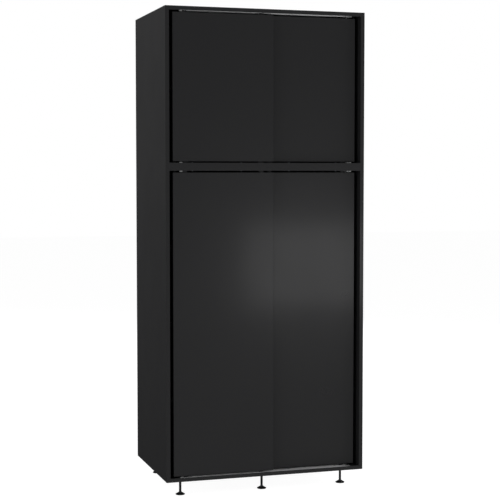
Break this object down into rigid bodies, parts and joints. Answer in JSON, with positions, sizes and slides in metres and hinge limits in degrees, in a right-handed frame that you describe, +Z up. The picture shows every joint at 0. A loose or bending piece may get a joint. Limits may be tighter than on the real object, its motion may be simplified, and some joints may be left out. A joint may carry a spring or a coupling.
{
  "type": "pantry cabinet",
  "caption": "Tall black storage cabinet of two stacked units, each closed by a pair of sliding doors on rollers, standing on levelling feet.",
  "frame": {"origin": "on the floor under the middle of the cabinet's bounding box", "axes": "+Z up along the height, +X to the right across the width, doors face -Y"},
  "size_m": [0.8, 0.513, 1.864],
  "materials": {
    "black_laminate_board": "satin black melamine on chipboard",
    "black_hardboard": "painted black hardboard",
    "silver_coated_aluminium": "silver-grey powder coat",
    "bright_nickel": "bright nickel plate",
    "zinc_plated_steel": "zinc plated",
    "black_zinc_steel": "black passivated zinc plate",
    "black_nylon": "moulded matte",
    "black_foot_plastic": "moulded matte"
  },
  "bodies": {
    "cabinet": {"lower_bottom_panel": "black_laminate_board", "lower_top_panel": "black_laminate_board", "lower_left_side": "black_laminate_board", "lower_right_side": "black_laminate_board", "lower_back_panel": "black_hardboard", "lower_shelf_low": "black_laminate_board", "lower_shelf_middle": "black_laminate_board", "lower_shelf_high": "black_laminate_board", "upper_bottom_panel": "black_laminate_board", "upper_top_panel": "black_laminate_board", "upper_left_side": "black_laminate_board", "upper_right_side": "black_laminate_board", "upper_back_panel": "black_hardboard", "upper_shelf": "black_laminate_board", "lower_bottom_track": "silver_coated_aluminium", "lower_top_track": "silver_coated_aluminium", "upper_bottom_track": "silver_coated_aluminium", "upper_top_track": "silver_coated_aluminium", "track_end_stops": "bright_nickel", "track_screws": "zinc_plated_steel", "carcass_screws": "zinc_plated_steel", "connecting_bolts": "zinc_plated_steel", "shelf_pins": "zinc_plated_steel", "foot_inserts": "zinc_plated_steel"},
    "lower_front_door": {"lower_front_door": "black_laminate_board", "lower_front_door_housings": "black_nylon", "lower_front_door_axles": "zinc_plated_steel", "lower_front_door_guides": "black_nylon"},
    "lower_front_door_left_wheel": {"lower_front_door_left_wheel": "black_nylon"},
    "lower_front_door_right_wheel": {"lower_front_door_right_wheel": "black_nylon"},
    "lower_rear_door": {"lower_rear_door": "black_laminate_board", "lower_rear_door_housings": "black_nylon", "lower_rear_door_axles": "zinc_plated_steel", "lower_rear_door_guides": "black_nylon"},
    "lower_rear_door_left_wheel": {"lower_rear_door_left_wheel": "black_nylon"},
    "lower_rear_door_right_wheel": {"lower_rear_door_right_wheel": "black_nylon"},
    "upper_front_door": {"upper_front_door": "black_laminate_board", "upper_front_door_housings": "black_nylon", "upper_front_door_axles": "zinc_plated_steel", "upper_front_door_guides": "black_nylon"},
    "upper_front_door_left_wheel": {"upper_front_door_left_wheel": "black_nylon"},
    "upper_front_door_right_wheel": {"upper_front_door_right_wheel": "black_nylon"},
    "upper_rear_door": {"upper_rear_door": "black_laminate_board", "upper_rear_door_housings": "black_nylon", "upper_rear_door_axles": "zinc_plated_steel", "upper_rear_door_guides": "black_nylon"},
    "upper_rear_door_left_wheel": {"upper_rear_door_left_wheel": "black_nylon"},
    "upper_rear_door_right_wheel": {"upper_rear_door_right_wheel": "black_nylon"},
    "front_left_foot": {"front_left_stud": "black_zinc_steel", "front_left_pad": "black_foot_plastic"},
    "front_middle_foot": {"front_middle_stud": "black_zinc_steel", "front_middle_pad": "black_foot_plastic"},
    "front_right_foot": {"front_right_stud": "black_zinc_steel", "front_right_pad": "black_foot_plastic"},
    "rear_left_foot": {"rear_left_stud": "black_zinc_steel", "rear_left_pad": "black_foot_plastic"},
    "rear_middle_foot": {"rear_middle_stud": "black_zinc_steel", "rear_middle_pad": "black_foot_plastic"},
    "rear_right_foot": {"rear_right_stud": "black_zinc_steel", "rear_right_pad": "black_foot_plastic"}
  },
  "joints": [
    {"name": "lower_front_door_slide", "type": "slide", "parent": "cabinet", "child": "lower_front_door", "axis": [1, 0, 0], "range_m": [0, 0.342]},
    {"name": "lower_front_door_left_wheel_spin", "type": "hinge", "parent": "lower_front_door", "child": "lower_front_door_left_wheel", "pos_m": [-0.3205, -0.2425, 0.0873], "axis": [0, 1, 0], "continuous": true},
    {"name": "lower_front_door_right_wheel_spin", "type": "hinge", "parent": "lower_front_door", "child": "lower_front_door_right_wheel", "pos_m": [-0.0215, -0.2425, 0.0873], "axis": [0, 1, 0], "continuous": true},
    {"name": "lower_rear_door_slide", "type": "slide", "parent": "cabinet", "child": "lower_rear_door", "axis": [1, 0, 0], "range_m": [-0.342, 0]},
    {"name": "lower_rear_door_left_wheel_spin", "type": "hinge", "parent": "lower_rear_door", "child": "lower_rear_door_left_wheel", "pos_m": [0.0215, -0.2225, 0.0873], "axis": [0, 1, 0], "continuous": true},
    {"name": "lower_rear_door_right_wheel_spin", "type": "hinge", "parent": "lower_rear_door", "child": "lower_rear_door_right_wheel", "pos_m": [0.3205, -0.2225, 0.0873], "axis": [0, 1, 0], "continuous": true},
    {"name": "upper_front_door_slide", "type": "slide", "parent": "cabinet", "child": "upper_front_door", "axis": [1, 0, 0], "range_m": [0, 0.342]},
    {"name": "upper_front_door_left_wheel_spin", "type": "hinge", "parent": "upper_front_door", "child": "upper_front_door_left_wheel", "pos_m": [-0.3205, -0.2425, 1.2873], "axis": [0, 1, 0], "continuous": true},
    {"name": "upper_front_door_right_wheel_spin", "type": "hinge", "parent": "upper_front_door", "child": "upper_front_door_right_wheel", "pos_m": [-0.0215, -0.2425, 1.2873], "axis": [0, 1, 0], "continuous": true},
    {"name": "upper_rear_door_slide", "type": "slide", "parent": "cabinet", "child": "upper_rear_door", "axis": [1, 0, 0], "range_m": [-0.342, 0]},
    {"name": "upper_rear_door_left_wheel_spin", "type": "hinge", "parent": "upper_rear_door", "child": "upper_rear_door_left_wheel", "pos_m": [0.0215, -0.2225, 1.2873], "axis": [0, 1, 0], "continuous": true},
    {"name": "upper_rear_door_right_wheel_spin", "type": "hinge", "parent": "upper_rear_door", "child": "upper_rear_door_right_wheel", "pos_m": [0.3205, -0.2225, 1.2873], "axis": [0, 1, 0], "continuous": true},
    {"name": "front_left_foot_screw", "type": "slide", "parent": "cabinet", "child": "front_left_foot", "axis": [0, 0, -1], "range_m": [-0.003, 0.006]},
    {"name": "front_middle_foot_screw", "type": "slide", "parent": "cabinet", "child": "front_middle_foot", "axis": [0, 0, -1], "range_m": [-0.003, 0.006]},
    {"name": "front_right_foot_screw", "type": "slide", "parent": "cabinet", "child": "front_right_foot", "axis": [0, 0, -1], "range_m": [-0.003, 0.006]},
    {"name": "rear_left_foot_screw", "type": "slide", "parent": "cabinet", "child": "rear_left_foot", "axis": [0, 0, -1], "range_m": [-0.003, 0.006]},
    {"name": "rear_middle_foot_screw", "type": "slide", "parent": "cabinet", "child": "rear_middle_foot", "axis": [0, 0, -1], "range_m": [-0.003, 0.006]},
    {"name": "rear_right_foot_screw", "type": "slide", "parent": "cabinet", "child": "rear_right_foot", "axis": [0, 0, -1], "range_m": [-0.003, 0.006]}
  ],
  "couplings": [
    {"joint": "lower_front_door_left_wheel_spin", "follows": "lower_front_door_slide", "rad_per_m": 90.909},
    {"joint": "lower_front_door_right_wheel_spin", "follows": "lower_front_door_slide", "rad_per_m": 90.909},
    {"joint": "lower_rear_door_left_wheel_spin", "follows": "lower_rear_door_slide", "rad_per_m": 90.909},
    {"joint": "lower_rear_door_right_wheel_spin", "follows": "lower_rear_door_slide", "rad_per_m": 90.909},
    {"joint": "upper_front_door_left_wheel_spin", "follows": "upper_front_door_slide", "rad_per_m": 90.909},
    {"joint": "upper_front_door_right_wheel_spin", "follows": "upper_front_door_slide", "rad_per_m": 90.909},
    {"joint": "upper_rear_door_left_wheel_spin", "follows": "upper_rear_door_slide", "rad_per_m": 90.909},
    {"joint": "upper_rear_door_right_wheel_spin", "follows": "upper_rear_door_slide", "rad_per_m": 90.909}
  ]
}
